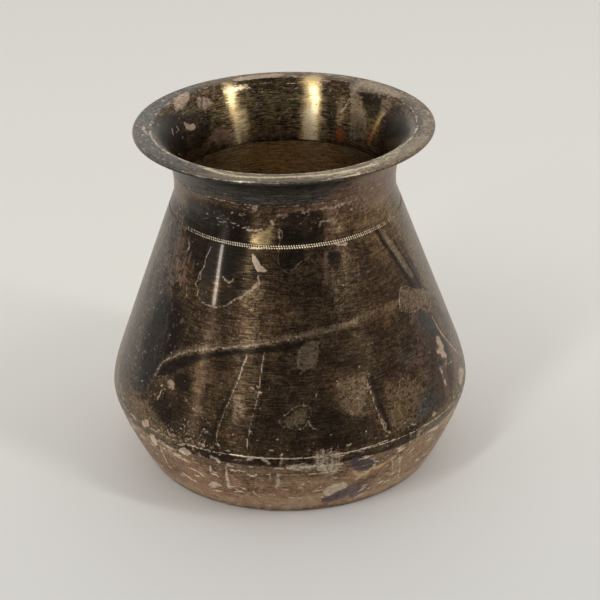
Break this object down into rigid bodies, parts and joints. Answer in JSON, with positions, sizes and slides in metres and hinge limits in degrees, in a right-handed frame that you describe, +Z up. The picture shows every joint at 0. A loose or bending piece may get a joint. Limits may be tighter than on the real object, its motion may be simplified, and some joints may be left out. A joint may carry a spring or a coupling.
{
  "type": "lota",
  "caption": "Wide-bellied brass water pot with a flat foot, a conical shoulder, a narrow neck and a flared rim.",
  "frame": {"origin": "centre of the foot, in the plane that the pot stands on", "axes": "+Z up along the pot's axis of symmetry, through the mouth"},
  "size_m": [0.1228, 0.1228, 0.1192],
  "materials": {
    "tarnished_brass": "turned brass tarnished nearly black, with pale mineral stains",
    "worn_brass": "turned brass with thinner brown tarnish and pale scale",
    "brazing_metal": "brazing metal turned flush with the wall"
  },
  "bodies": {
    "root": {"neck_collar": "tarnished_brass", "throat_braze": "brazing_metal", "shoulder_wall": "tarnished_brass", "belly_braze": "brazing_metal", "base_bowl": "worn_brass"}
  },
  "joints": []
}
